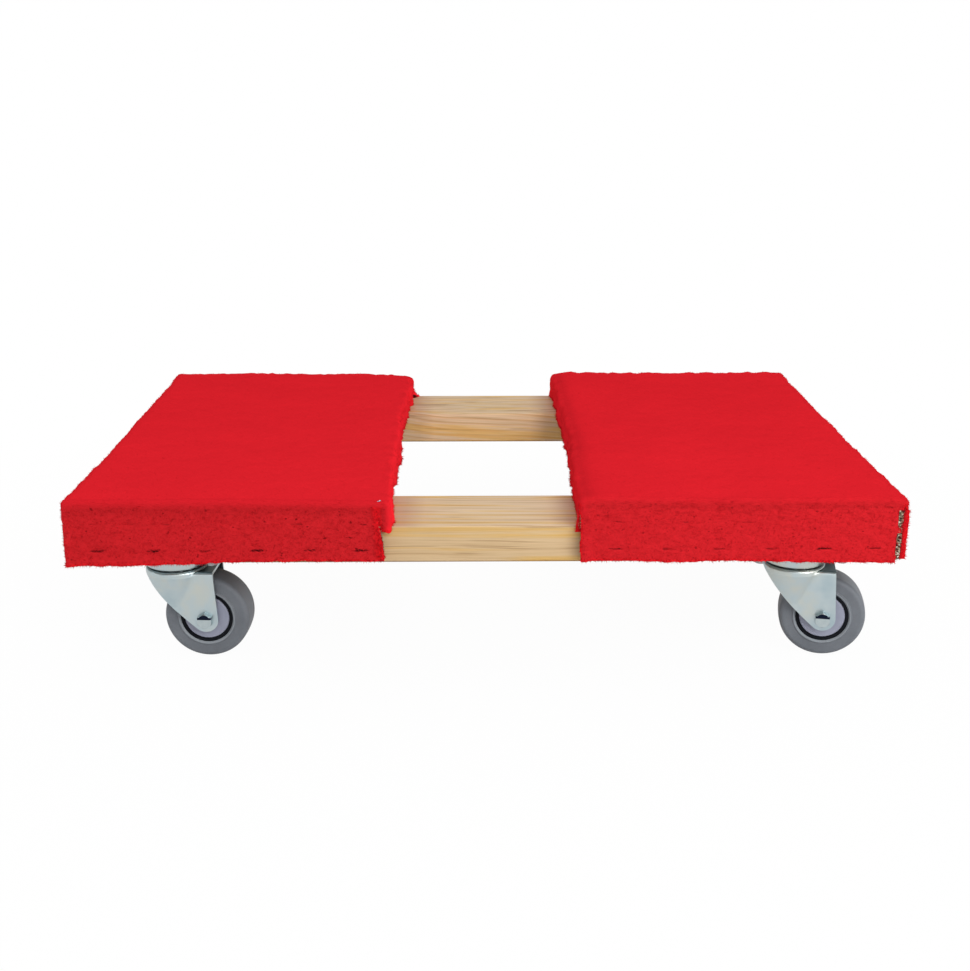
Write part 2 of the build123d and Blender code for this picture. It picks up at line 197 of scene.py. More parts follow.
def carpet_material():
    """Red cut pile, even on the top and mottled on the flaps. Painted shade darkens the flaps, the staple
    dents, the hollow by the bunched corner, the pile below the fold and the right carpet's inner roll;
    painted light brightens the inner flaps and the hem.
    """
    add, paint = make_material("carpet_pile")
    flap, fold = attribute(add, "flap"), attribute(add, "fold")
    dent_shade, edge = attribute(add, "dent_shade"), attribute(add, "edge")
    painted_shade, lit = attribute(add, "painted_shade"), attribute(add, "lit")
    sheet_place = add("UVMap", uv_map="sheet").outputs["UV"]
    streak = noise_over(add, sheet_place, (110.0, 380.0, 1.0))
    tufts = grain(add, 560.0, detail=2.0)
    clumps = grain(add, (130.0, 130.0, 150.0))
    specks = grain(add, (210.0, 210.0, 300.0), detail=1.0)
    broad = grain(add, 9.0, detail=2.0)
    even = ramp(add, tufts, [(0.30, (0.645, 0.0133, 0.0212)), (0.66, (0.692, 0.0153, 0.0242))])
    cloud = fading(add, broad, 0.35, (0.96, 0.96, 0.96), 0.65)
    # Painted shade: the flaps' mottled colour is darker than the top's, for faces turned from the light.
    mottled_in_shade = ramp(add, clumps, [(0.34, (0.520, 0.0145, 0.0190)), (0.58, (0.560, 0.0156, 0.0210))])
    parted = scaled(add, fold, -0.035, streak)
    lines = fading(add, parted, 0.33, (0.82, 0.78, 0.78), 0.43)
    dots = fading(add, specks, 0.24, (0.42, 0.40, 0.40), 0.30)
    colour = mixed(add, flap, times(add, even, cloud), times(add, mottled_in_shade, lines, dots))
    # Painted shade below the fold and on the right carpet's rolled inner end.
    colour = times(add, colour, ramp(add, painted_shade, [(0.0, WHITE), (1.0, (0.80, 0.80, 0.80))]))
    # Painted light on the inner flaps and along the hem.
    colour = mixed(add, lit, colour, (0.90, 0.0190, 0.0300))
    colour = mixed(add, edge, colour, (0.76, 0.0095, 0.0150))
    # Painted shade in the dent at each staple and in the hollow by the bunched corner.
    colour = mixed(add, ranged(add, dent_shade, 0.18, 0.62), colour, (0.060, 0.004, 0.005))
    deeper = scaled(add, flap, 0.75, 0.25)
    height = calc(add, "MULTIPLY", calc(add, "ADD", streak, tufts), deeper)
    return paint({"Base Color": colour, "Normal": bump(add, height, 0.35, 1.0 * MM), **MATT})


def backing_material():
    """The woven jute back of the carpet."""
    add, paint = make_material("carpet_backing")
    threads = {"Vector": own_place(add), "Scale": 260.0, "Distortion": 2.0, "Detail": 2.0}
    warp = add("TexWave", threads, bands_direction="X").outputs["Fac"]
    weft = add("TexWave", threads, bands_direction="Y").outputs["Fac"]
    weave = calc(add, "MULTIPLY", warp, weft)
    jute = ramp(add, weave, [(0.0, (0.22, 0.15, 0.09)), (0.7, (0.52, 0.42, 0.28))])
    stain = fading(add, grain(add, 30.0), 0.35, (0.75, 0.72, 0.70), 0.7)
    return paint({
        "Base Color": times(add, jute, stain),
        "Roughness": 0.95,
        "Normal": bump(add, weave, 0.6, 1.0 * MM),
    })


def cut_material():
    """A cut edge of the carpet: red pile, darker with painted shade towards its roots, then a frayed jute
    back, near black with painted shade between its threads.
    """
    add, paint = make_material("carpet_cut_edge")
    tufts = grain(add, 420.0)
    fray = grain(add, (380.0, 380.0, 620.0), detail=2.0)
    uneven = calc(add, "SUBTRACT", tufts, 0.5)
    across = scaled(add, uneven, 0.60, attribute(add, "layer"))
    # Painted shade: the pile darkens towards its roots, and the jute goes near black between its threads.
    red = ramp(add, across, [
        (0.00, (0.72, 0.009, 0.014)),
        (0.36, (0.56, 0.008, 0.012)),
        (0.56, (0.16, 0.008, 0.008)),
    ])
    jute = ramp(add, fray, [
        (0.45, (0.030, 0.020, 0.018)),
        (0.57, (0.30, 0.21, 0.13)),
        (0.68, (0.82, 0.78, 0.70)),
    ])
    colour = mixed(add, calc(add, "GREATER_THAN", across, 0.56), red, jute)
    return paint({"Base Color": colour, "Normal": bump(add, tufts, 0.8, 2.0 * MM), **MATT})


def strand_material(name, stops):
    """Loose fibres, each its own tone, with painted shade making them darker at the foot than at the tip."""
    add, paint = make_material(name)
    return paint({"Base Color": ramp(add, attribute(add, "shade"), stops), **MATT})


def pine_material(name, shift, slope, tones_and_light, box, honey=False, rings=False):
    """Planed softwood: pale, with long honey bands, thin brown lines and fine fibres that run along X.

    Its two tints are of its sides and its top, and on the rails they paint light by facing. The arrises at
    the bottom and the back of the rail's box are darker with painted shade, and the wood beside the carpets
    with a painted shadow. A honey band can run along the top of its front face, and sharper growth rings all
    through it."""
    add, paint = make_material(name)
    low, high = box
    place = own_place(add)
    laid = {"Vector": place, "Location": shift, "Rotation": (0.0, slope, 0.0)}
    laid = add("Mapping", laid).outputs["Vector"]
    wander = noise_over(add, place, (6.0, 12.0, 12.0), detail=1.0)
    strayed = {0: wander, 1: (0.0, 0.012, 0.012), 2: laid}
    laid = add("VectorMath", strayed, operation="MULTIPLY_ADD").outputs["Vector"]
    bands = noise_over(add, laid, (3.2, 120.0, 120.0), rough=0.5)
    lines = noise_over(add, laid, (3.2, 300.0, 300.0), detail=2.0)
    fibre = noise_over(add, laid, (18.0, 1100.0, 1100.0))
    patch = noise_over(add, laid, (5.0, 22.0, 22.0), detail=2.0)
    wood = ramp(add, bands, [
        (0.28, (0.46, 0.29, 0.13)),
        (0.40, (0.66, 0.48, 0.285)),
        (0.53, (0.68, 0.50, 0.30)),
        (0.62, (0.70, 0.455, 0.165)),
        (0.76, (0.64, 0.37, 0.125)),
    ])
    along, depth, height = add("SeparateXYZ", {"Vector": place}).outputs
    upward = facing_up(add)
    # Painted shadow of the carpets: darker within about 30 mm of them and under them.
    from_carpet = calc(add, "SUBTRACT", gap_half, calc(add, "ABSOLUTE", along))
    beside = calc(add, "DIVIDE", from_carpet, 32.0 * MM)
    shade = fading(add, beside, 0.35, (0.83, 0.81, 0.82), 0.90)
    if honey:
        from_top = calc(add, "SUBTRACT", high.z - 3.6 * MM, height)
        strayed_top = scaled(add, calc(add, "SUBTRACT", lines, 0.5), 6.0 * MM, from_top)
        spread = calc(add, "DIVIDE", calc(add, "ABSOLUTE", strayed_top), 3.4 * MM)
        share = ramp(add, spread, [(0.35, (0.75, 0.75, 0.75)), (0.90, BLACK)])
        wood = mixed(add, share, wood, (0.70, 0.44, 0.14))
        # On the front rail the painted shadow falls on its top only.
        shade = mixed(add, upward, WHITE, shade)
    thin = fading(add, lines, 0.29, (0.72, 0.66, 0.58), 0.38)
    dense = fading(add, lines, 0.34, (0.76, 0.67, 0.59), 0.44)
    thin = mixed(add, upward, thin, dense)
    if rings:
        turned = add("Mapping", {"Vector": laid, "Scale": (0.05, 1.0, 1.0), "Rotation": (0.7, 0.0, 0.0)})
        growth = {"Vector": turned.outputs["Vector"], "Scale": 62.0, "Distortion": 3.2, "Detail": 2.0,
                  "Detail Scale": 0.8}
        growth = add("TexWave", growth, bands_direction="Z", wave_profile="SAW").outputs["Fac"]
        late = ramp(add, growth, [
            (0.55, WHITE),
            (0.88, (0.86, 0.68, 0.46)),
            (0.94, (0.66, 0.46, 0.28)),
            (0.98, WHITE),
        ])
        clear = ranged(add, patch, 0.36, 0.60, 0.45, 1.0)
        thin = mixed(add, clear, thin, times(add, thin, late))
    fibres = fading(add, fibre, 0.32, (0.90, 0.88, 0.85), 0.58)
    tones = fading(add, patch, 0.35, (0.92, 0.90, 0.88), 0.62)
    # Painted shade along the bottom and back arrises.
    from_bottom = calc(add, "SUBTRACT", height, low.z)
    from_back = calc(add, "SUBTRACT", high.y, depth)
    from_arris = calc(add, "DIVIDE", calc(add, "MINIMUM", from_bottom, from_back), 4.0 * MM)
    arris_shade = fading(add, from_arris, 0.22, (0.42, 0.32, 0.26), 0.42)
    # Tints by facing: painted light on the rails, one plain tone on the deck.
    tone_and_light = ramp(add, upward, [(0.3, tones_and_light[0]), (0.7, tones_and_light[1])])
    return paint({
        "Base Color": times(add, wood, thin, fibres, tones, arris_shade, tone_and_light, shade),
        "Roughness": scaled(add, fibre, 0.18, 0.50),
        "Specular IOR Level": 0.20,
        "Normal": bump(add, fibre, 0.08, 0.6 * MM),
    })


def zinc_material(name, shaded_head):
    """Bright zinc plate: a pale blue metal with cloudy passivation and fine marks.

    With a shaded head, painted shade darkens the head of a fork where other faces stand close."""
    add, paint = make_material(name)
    cloud = grain(add, 26.0)
    spangle = grain(add, 420.0, detail=2.0)
    rub = grain(add, (60.0, 60.0, 900.0))
    plate = ramp(add, cloud, [
        (0.32, (0.40, 0.50, 0.54)),
        (0.50, (0.49, 0.57, 0.59)),
        (0.66, (0.55, 0.58, 0.54)),
    ])
    if shaded_head:
        # Painted shade at the fork's head, where other faces stand close.
        at_head = ranged(add, along_z(add, add("NewGeometry").outputs["Position"]), 76.0 * MM, 84.0 * MM)
        openness = add("AmbientOcclusion", {"Distance": 24.0 * MM}, samples=8).outputs["AO"]
        head_shade = fading(add, openness, 0.20, (0.08, 0.10, 0.12), 0.54)
        plate = mixed(add, at_head, plate, times(add, plate, head_shade))
    return paint({
        "Base Color": plate,
        "Metallic": 1.0,
        "Roughness": scaled(add, calc(add, "ADD", cloud, rub), 0.10, 0.24),
        "Normal": bump(add, calc(add, "ADD", spangle, rub), 0.04, 0.4 * MM),
    })


def bolt_material():
    """The axle bolt: the same plate, with a painted dark reflection on the upper part of its head."""
    add, paint = make_material("zinc_bolt")
    marks = grain(add, 300.0)
    height = along_z(add, add("TexCoord").outputs["Generated"])
    plate = ramp(add, marks, [(0.3, (0.43, 0.50, 0.52)), (0.7, (0.50, 0.57, 0.58))])
    # Painted reflection: dark on the upper part of the head, less on its upward facets.
    high = calc(add, "MULTIPLY", calc(add, "SUBTRACT", height, 0.61), 12.0)
    facing = ranged(add, facing_up(add), 0.2, 0.5, 1.0, 0.22)
    stain = calc(add, "MULTIPLY", calc(add, "MINIMUM", high, 1.0), facing)
    stain = ramp(add, stain, [(0.20, WHITE), (0.42, (0.02, 0.024, 0.05))])
    return paint({
        "Base Color": times(add, plate, stain),
        "Metallic": 1.0,
        "Roughness": scaled(add, marks, 0.15, 0.28),
    })


def wire_material(name, colour, rough):
    """Plain plated fastener metal with fine drawing marks."""
    add, paint = make_material(name)
    marks = grain(add, 700.0)
    return paint({
        "Base Color": ramp(add, marks, [(0.3, tuple(0.8 * c for c in colour)), (0.7, colour)]),
        "Metallic": 1.0,
        "Roughness": scaled(add, marks, 0.15, rough),
    })


def rubber_material():
    """Grey moulded rubber, a little dusty, with a fine grain and a painted highlight: a paler lip round its
    bore.
    """
    add, paint = make_material("grey_rubber")
    dust = grain(add, 45.0, detail=4.0)
    speck = grain(add, 900.0, detail=2.0)
    base = ramp(add, dust, [(0.30, (0.128, 0.140, 0.158)), (0.70, (0.160, 0.174, 0.195))])
    mottle = fading(add, speck, 0.35, (0.93, 0.93, 0.93), 0.65)
    # Painted highlight: paler on the lip near the bore.
    lip = ranged(add, attribute(add, "radius"), 24.5 * MM, 28.5 * MM)
    lip_highlight = ramp(add, lip, [(0.38, (0.85, 0.85, 0.85)), (0.56, BLACK)])
    return paint({
        "Base Color": mixed(add, lip_highlight, times(add, base, mottle), (0.27, 0.295, 0.32)),
        "Roughness": scaled(add, dust, 0.20, 0.42),
        "Specular IOR Level": 0.35,
        "Normal": bump(add, speck, 0.12, 0.3 * MM),
    })


def plastic_material(name, dark, light, rough, shine):
    """Moulded plastic with a fine matt grain and faint flow marks."""
    add, paint = make_material(name)
    flow = grain(add, 60.0)
    return paint({
        "Base Color": ramp(add, flow, [(0.3, dark), (0.7, light)]),
        "Roughness": scaled(add, flow, 0.15, rough),
        "Specular IOR Level": shine,
        "Normal": bump(add, grain(add, 1100.0, detail=2.0), 0.10, 0.2 * MM),
    })


pile = carpet_material()
backing = backing_material()
cut_edge = cut_material()
red_strands = strand_material("carpet_strands", [
    (0.0, (0.38, 0.009, 0.013)),
    (0.5, (0.58, 0.013, 0.019)),
    (1.0, (0.72, 0.016, 0.024)),
])
jute_strands = strand_material("jute_strands", [(0.0, (0.20, 0.14, 0.08)), (1.0, (0.62, 0.52, 0.36))])
zinc = zinc_material("zinc_plate", False)
zinc_fork = zinc_material("zinc_fork", True)
zinc_bolt = bolt_material()
rubber = rubber_material()
black_core = plastic_material("black_core", (0.004, 0.005, 0.007), (0.008, 0.009, 0.012), 0.42, 0.06)
grey_hub = plastic_material("grey_hub", (0.250, 0.262, 0.335), (0.300, 0.313, 0.395), 0.38, 0.40)
white_bush = plastic_material("white_bush", (0.70, 0.69, 0.64), (0.80, 0.79, 0.75), 0.40, 0.40)
# The staples' wire is dark: painted shade for staples sunk in the pile.
staple_wire = wire_material("staple_wire", (0.16, 0.14, 0.14), 0.45)
bright_wire = wire_material("bright_staple", (0.42, 0.45, 0.55), 0.20)
screw_steel = wire_material("screw_steel", (0.34, 0.36, 0.37), 0.30)
ball_steel = wire_material("ball_steel", (0.72, 0.72, 0.73), 0.08)
front_box, rear_box = (rail_low, rail_high), (rear_low, rear_high)
# Side and top tints: painted light by facing, the rear rail's sides much brighter, the front rail's top
# bluer.
front_light_tints = ((0.93, 0.92, 0.89), (1.00, 1.02, 1.12))
rear_light_tints = ((1.29, 1.29, 1.38), (1.01, 1.06, 1.16))
deck_tints = ((0.85, 0.85, 0.85), (0.85, 0.85, 0.85))
pine_front = pine_material("pine_front", (0.0, 0.013, 0.0), 0.004, front_light_tints, front_box, honey=True)
pine_rear = pine_material("pine_rear", (0.4, 0.0, 0.021), -0.062, rear_light_tints, rear_box, rings=True)
plywood = pine_material("plywood", (0.7, 0.3, 0.1), 0.0, deck_tints, rear_box)

looks = {
    pine_front: ["rail_front"],
    pine_rear: ["rail_rear"],
    plywood: ["deck_left", "deck_right"],
    staple_wire: ["staples_left", "staples_right"],
    screw_steel: ["deck_screws", "castor_screws", "castor_washers"],
}
castor_looks = {
    zinc: ("castor_plate", "kingpin", "race_retainer", "axle_nut", "axle_sleeve"),
    zinc_fork: ("fork",),
    zinc_bolt: ("axle_bolt",),
    ball_steel: ("race_balls",),
    grey_hub: ("thread_guards",),
    rubber: ("tyre",),
    black_core: ("wheel_core",),
    white_bush: ("bush",),
}
for material, pieces in castor_looks.items():
    looks[material] = [f"{piece}_{corner}" for piece in pieces for corner in CORNERS]
for material, names in looks.items():
    for name in names:
        nodes[name].data.materials.clear()
        nodes[name].data.materials.append(material)


def node_points(node):
    """A CAD node's points as rows."""
    mesh = nodes[node].data
    points = np.empty(len(mesh.vertices) * 3)
    mesh.vertices.foreach_get("co", points)
    return points.reshape(-1, 3)


def mark_radius(node):
    """Stores each point's distance from the wheel's axle, the way the tyre is thinnest."""
    points = node_points(node)
    points = points - (points.min(axis=0) + points.max(axis=0)) / 2
    axle = np.linalg.svd(points, full_matrices=False)[2][-1]
    off_axle = points - np.outer(points @ axle, axle)
    hold(nodes[node].data, "radius", np.linalg.norm(off_axle, axis=1))


for corner in CORNERS:
    mark_radius(f"tyre_{corner}")


# Carpets: one sheet each, folded over a deck, cut at the corners and stapled

BEND = 7.5 * MM
QUARTER = BEND * math.pi / 2
SHEET = 8.2 * MM
STEP = 2.6 * MM
ROW_STEP = 1.15 * MM
BEND_STEPS = 6
INSET = -0.4 * MM
FULLNESS = 1.7 * MM
RAIL_CLEARANCE = 0.8 * MM
SWELLS = ((0.9 * MM, 0.050), (0.45 * MM, 0.016), (0.30 * MM, 0.0055))
TUFT = 0.55 * MM
REAR_TUFT = 1.0 * MM
TUFT_LENGTH = 4.6 * MM
LUMP = 1.9 * MM
LUMP_LENGTH = 9.0 * MM
LUMP_REACH = 14.0 * MM
RUFFLES = ((1.7 * MM, 0.011), (1.5 * MM, 0.024))
END_REACH = 70.0 * MM
END_DRAW = 3.0 * MM
END_SHORTER = 1.2 * MM
ROLL_REACH = 28.0 * MM
EDGE_REACH = 18.0 * MM
OPENING = 0.7 * MM
HOLLOW_DEPTH = 2.5 * MM
HOLLOW_REACH = (8.0 * MM, 3.4 * MM, 2.6 * MM)
BUNCH = 7.5 * MM
BUNCH_REACH = (12.0 * MM, 12.0 * MM, 4.5 * MM)

# Staples: how hard the two rows pull, the length in millimetres and the turn of the dents they leave,
# which painted shade darkens
STAPLE_SPAN = 14.0 * MM
STAPLE_DEPTH = 1.5 * MM
LONG_SIDE = 15.0 * MM
LOWER_PULL = (0.45, 1.0)
UPPER_PULL = (0.10, 0.55)
DASH_LENGTH = (2.0, 6.0)
DASH_TURN = 0.12
DIMPLE_DEPTH = 1.4 * MM
DIMPLE_HEIGHT = 0.95 * MM
DIMPLE_FADE = 1.8 * MM

# Where the pile looks different: at the rim, and by painted light and painted shade on the inner end, below
# the fold and at the hem
RIM_SHARE = 0.7
INNER_HANG = 0.1
INNER_SHADE_REACH = 11.0 * MM
LIT_POWER = 1.7
HEM_LIT_REACH = 5.0 * MM
FOLD_START = 0.6 * MM
FOLD_HEIGHT = 12.0 * MM

FACES = ("front", "end", "rear", "inner")
PLAIN_EDGE = (0.6 * MM, 0.3 * MM, None)

# What the left and the right carpet have each. The inner end stands out into the gap by so many millimetres
# at places from front to back. A seam starts at a distance round the rim from the middle of its corner. Each
# flap has two cut edges: how far the edge leans from the seam at the hem, how far it curls out, and how far
# below the bend it runs straight past the corner, or None where it wraps round it.
PAIRS = dict(
    seed=(3, 11),
    edge_lump=(0.10, 0.25),
    end_out=(2.2 * MM, 1.0 * MM),
    end_lift=(-2.0 * MM, 2.2 * MM),
    end_roll=(0.5 * MM, 3.5 * MM),
    corner_drop=(6.0 * MM, 0.0),
    hem_lift=(2.0 * MM, 0.5 * MM),
    hem_sag=(5.0 * MM, 3.2 * MM),
    dash_tilt=(0.18, 0.02),
    hang_reach=(9.0 * MM, 5.0 * MM),
    # The right carpet's lower flap share also paints its flaps lighter, as painted light from the right.
    flap_share=(1.0, 0.82),
    line_share=(0.3, 2.2),
    # Painted shade below the fold and on the inner roll, and painted light on the inner flaps and the hem:
    dull_share=(0.6, 0.45),
    dull_height=(5.0 * MM, 1.5 * MM),
    inner_lit=(0.8, 0.25),
    inner_dull=(0.0, 1.2),
    hem_lit=(0.14, 0.0),
    jute_drop=(34.0 * MM, 28.0 * MM),
    inner_places=(
        (-0.25, -0.20, -0.14, -0.07, 0.09, 0.16, 0.25),
        (-0.25, -0.20, -0.14, -0.07, 0.09, 0.19, 0.25),
    ),
    inner_out=((-0.5, -2.2, -4.2, -5.2, -5.2, -1.5, 0.3), (1.5, 2.8, 1.0, -3.2, -3.4, -2.8, -0.6)),
    seams=(
        {"front": 10.9 * MM, "end": 13.0 * MM, "rear": -13.0 * MM, "inner": 0.0},
        {"front": -1.5 * MM, "end": -2.5 * MM, "rear": 12.0 * MM, "inner": -12.0 * MM},
    ),
    edges=(
        {
            "front": ((-7.6 * MM, 0.4 * MM, None), PLAIN_EDGE),
            "end": (PLAIN_EDGE, PLAIN_EDGE),
            "rear": (PLAIN_EDGE, (1.5 * MM, 1.0 * MM, 9.0 * MM)),
            "inner": ((2.5 * MM, 4.0 * MM, 9.0 * MM), (1.5 * MM, -5.0 * MM, None)),
        },
        {
            "front": ((0.2 * MM, 1.0 * MM, 9.0 * MM), (3.0 * MM, 0.2 * MM, 3.5 * MM)),
            "end": ((0.6 * MM, 0.2 * MM, 3.5 * MM), PLAIN_EDGE),
            "rear": (PLAIN_EDGE, PLAIN_EDGE),
            "inner": ((0.6 * MM, 0.5 * MM, None), (1.0 * MM, 3.6 * MM, 9.0 * MM)),
        },
    ),
)
OWN = {
    side: SimpleNamespace(**{name: pair[number] for name, pair in PAIRS.items()})
    for number, side in enumerate(SIDES)
}

LATTICE = np.random.default_rng(5).uniform(-1.0, 1.0, (32, 32, 32))


def wobble(points, wavelength, seed):
    """Smooth noise between -1 and 1 at each point, with features about a wavelength across."""
    scaled = points / wavelength + seed * np.array((7.3, 3.1, 5.7))
    cell = np.floor(scaled).astype(int)
    part = scaled - cell
    part = part * part * (3.0 - 2.0 * part)
    total = np.zeros(points.shape[:-1])
    for corner in itertools.product((0, 1), repeat=3):
        weight = np.where(corner, part, 1.0 - part).prod(axis=-1)
        x, y, z = np.moveaxis((cell + corner) % len(LATTICE), -1, 0)
        total += weight * LATTICE[x, y, z]
    return total


def ragged(position, seed):
    """A ragged cut along a line: long waves and small steps."""
    line = np.stack((position, 0.0 * position, 0.0 * position), axis=-1)
    return 1.1 * MM * wobble(line, 0.045, seed) + 0.9 * MM * wobble(line, 0.006, seed + 1)


def ease(value):
    """A smooth step from 0 to 1."""
    value = np.clip(value, 0.0, 1.0)
    return value * value * (3.0 - 2.0 * value)


def soft_spot(points, spot, reach):
    """A soft round patch: 1 at a spot, and less with the distance from it."""
    away = (points - np.array(spot)) / np.array(reach)
    return np.exp(-(away ** 2).sum(axis=-1))


def quads(grid):
    """The four corners of each square of a grid."""
    corners = (grid[:-1, :-1], grid[1:, :-1], grid[1:, 1:], grid[:-1, 1:])
    return np.stack(corners, axis=2).reshape(-1, 4, *grid.shape[2:])


def spaced(low, high):
    """Even positions from low to high, about a step apart."""
    return np.linspace(low, high, int(round((high - low) / STEP)) + 1)


def folded(low, high):
    """Positions across the top and on round the bend at each end, as unfolded distances."""
    bend = QUARTER * np.arange(1, BEND_STEPS + 1) / BEND_STEPS
    return np.concatenate((low - bend[::-1], spaced(low, high), high + bend))


def staple_groups(points):
    """Which points belong to each staple, as lists of point numbers."""
    left = np.arange(len(points))
    groups = []
    while len(left):
        near = np.linalg.norm(points[left] - points[left[0]], axis=1) < STAPLE_SPAN
        groups.append(left[near])
        left = left[~near]
    return groups


class Carpet:
    """One carpet as it lies, built up as a top and four flaps that share the points of its rim."""

    def __init__(self, side):
        low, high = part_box(f"carpet_{side}")
        self.side = side
        self.sign = SIDES[side]
        self.own = OWN[side]
        self.seed = self.own.seed
        self.start = min(abs(low.x), abs(high.x))
        self.length = high.x - low.x
        self.half = high.y
        self.top = high.z
        self.depth = high.z - low.z
        self.inner_depth = high.z - rail_high.z - RAIL_CLEARANCE
        points = node_points(f"staples_{side}")
        self.staples = [points[group].mean(axis=0) for group in staple_groups(points)]
        self.points, self.backs, self.values = [], [], {}
        self.quads, self.sheet_map, self.bake_map = [], [], []
        self.count = 0
        self.add_top()
        for face in FACES:
            self.add_flap(face)

    def lay(self, plan, drop, out, push=0.0):
        """Adds points from a folded place and its outward direction, and returns their numbers."""
        mirror = np.array((self.sign, 1.0, 1.0))
        base = np.stack((self.start + plan[..., 0], plan[..., 1], self.top - drop), axis=-1) * mirror
        out = out * mirror
        pressed, hollow = self.press(base), self.hollow(base)
        level = np.hypot(out[..., 0], out[..., 1])
        corner = 2.0 * out[..., 0] * out[..., 1] / np.maximum(level, 1e-6)
        bulge = (2.0 * level * out[..., 2]) ** 2 + corner ** 2
        push = push - INSET - DIMPLE_DEPTH * pressed - HOLLOW_DEPTH * hollow + FULLNESS * bulge
        for number, (height, wavelength) in enumerate(SWELLS):
            push = push + height * wobble(base, wavelength, self.seed + number)
        push = push + TUFT * level * wobble(base, TUFT_LENGTH, self.seed + 12)
        at_back = ease(3.0 * out[..., 1]) * ease(3.0 * out[..., 2])
        push = push + REAR_TUFT * at_back * wobble(base, TUFT_LENGTH, self.seed + 15)
        at_end = ease(1.0 - plan[..., 0] / LUMP_REACH)
        lumpy = self.own.edge_lump * bulge + at_end
        push = push + LUMP * lumpy * wobble(base, LUMP_LENGTH, self.seed + 9)
        outer = base + out * push[..., None]
        self.draw_ends(outer, base, plan, at_end)
        outer[..., 2] += self.lift(plan) * (1.0 - drop / self.depth)
        if self.side == "left":
            outer[..., 0] += self.rear_bunch(base)
        self.points.append(outer.reshape(-1, 3))
        self.backs.append((base - out * SHEET).reshape(-1, 3))
        self.mark(plan, drop, out, pressed, hollow)
        numbers = self.count + np.arange(drop.size).reshape(drop.shape)
        self.count += drop.size
        return numbers

    def draw_ends(self, outer, base, plan, at_end):
        """Moves the inner end out into the gap, ruffles it, and draws the middle of the outer end in."""
        into_gap = np.interp(base[..., 1], self.own.inner_places, self.own.inner_out) * MM
        outer[..., 0] -= self.sign * into_gap * ease(1.0 - plan[..., 0] / END_REACH)
        across = base * np.array((0.0, 1.0, 0.0))
        for number, (height, wavelength) in enumerate(RUFFLES):
            outer[..., 0] += height * at_end * wobble(across, wavelength, self.seed + 30 + number)
        drawn = END_DRAW * (1.0 - (np.abs(plan[..., 1]) / self.half) ** 6) - self.own.end_out
        outer[..., 0] -= self.sign * drawn * ease(1.0 - (self.length - plan[..., 0]) / END_REACH)

    def lift(self, plan):
        """How far the top rises towards the inner end, and how far it rolls down again there."""
        near = np.clip(1.0 - plan[..., 0] / (0.6 * self.length), 0.0, 1.0)
        rolled = np.clip(1.0 - plan[..., 0] / ROLL_REACH, 0.0, 1.0)
        at_rear = ease(1.0 - (self.half - plan[..., 1]) / ROLL_REACH)
        lift = self.own.end_lift * near ** 2 - self.own.end_roll * rolled ** 2
        return lift - self.own.corner_drop * at_rear * rolled ** 4

    def mark(self, plan, drop, out, pressed, hollow):
        """Keeps what the pile's material reads at each point."""
        own = self.own
        on_end = ease(-1.4 * self.sign * out[..., 0])
        hang = ease(drop / own.hang_reach) * (1.0 - (1.0 - INNER_HANG) * on_end) * own.flap_share
        below = np.maximum(0.0, drop - BEND)
        over_fold = ease(drop / FOLD_START)
        # Painted shade just below the fold, and further down on the right carpet's rolled inner end.
        painted_shade = own.dull_share * over_fold * np.exp(-(below / own.dull_height) ** 2)
        inward = np.clip(-self.sign * out[..., 0], 0.0, 1.0)
        roll = np.exp(-(np.maximum(0.0, plan[..., 0]) / INNER_SHADE_REACH) ** 2)
        to_edge = np.maximum(0.0, np.minimum(self.depth - drop, self.length - plan[..., 0]))
        # Painted light near the hem of the left carpet's front and rear flaps.
        hem_lit = own.hem_lit * np.abs(out[..., 1]) * np.exp(-(to_edge / HEM_LIT_REACH) ** 2)
        kept = {
            "flap": hang,
            "fold": own.line_share * over_fold * np.exp(-(below / FOLD_HEIGHT) ** 2),
            # Painted shade in the staple dents and the hollow.
            "dent_shade": np.maximum(pressed * hang, hollow),
            "painted_shade": np.maximum(painted_shade, own.inner_dull * roll * (1.0 - inward ** 2) * out[..., 2]),
            # Painted light on the inner flaps that face the lamps, and near the hem.
            "lit": np.maximum(own.inner_lit * inward ** LIT_POWER, hem_lit),
        }
        for name, value in kept.items():
            self.values.setdefault(name, []).append(value.ravel())

    def ways(self, spot):
        """The two axes of a staple at a spot: along its crown, and through the flap."""
        return (0, 1) if abs(spot[1]) > self.half - LONG_SIDE else (1, 0)

    def press(self, base):
        """How much a staple pulls the pile in, from 0 to 1, with each staple a little different."""
        rng = np.random.default_rng(self.seed + 60)
        most = np.zeros(base.shape[:-1])
        for spot in self.staples:
            strength = rng.uniform(*(LOWER_PULL if spot[2] < rail_high.z else UPPER_PULL))
            length = rng.uniform(*DASH_LENGTH) * MM
            tilt = rng.normal(self.own.dash_tilt, DASH_TURN)
            along, through = self.ways(spot)
            aside = base[..., along] - spot[along]
            above = base[..., 2] - spot[2] - tilt * aside
            beyond = np.maximum(0.0, np.abs(aside) - length / 2) / DIMPLE_FADE
            dent = strength * np.exp(-beyond ** 2 - (above / DIMPLE_HEIGHT) ** 2)
            most = np.maximum(most, dent * (np.abs(base[..., through] - spot[through]) < 20 * MM))
        return most

    def hollow(self, base):
        """The hollow in front of the left carpet's bunched corner, pressed in and darkened with painted
        shade.
        """
        spot = (-self.start, self.half - 19 * MM, rail_high.z + 4 * MM)
        return soft_spot(base, spot, HOLLOW_REACH) * (self.side == "left")

    def rear_bunch(self, base):
        """The rear inner corner of the left carpet bunches out where it was folded under."""
        spot = (-self.start, self.half - 12 * MM, rail_high.z + 3 * MM)
        return BUNCH * soft_spot(base, spot, BUNCH_REACH)

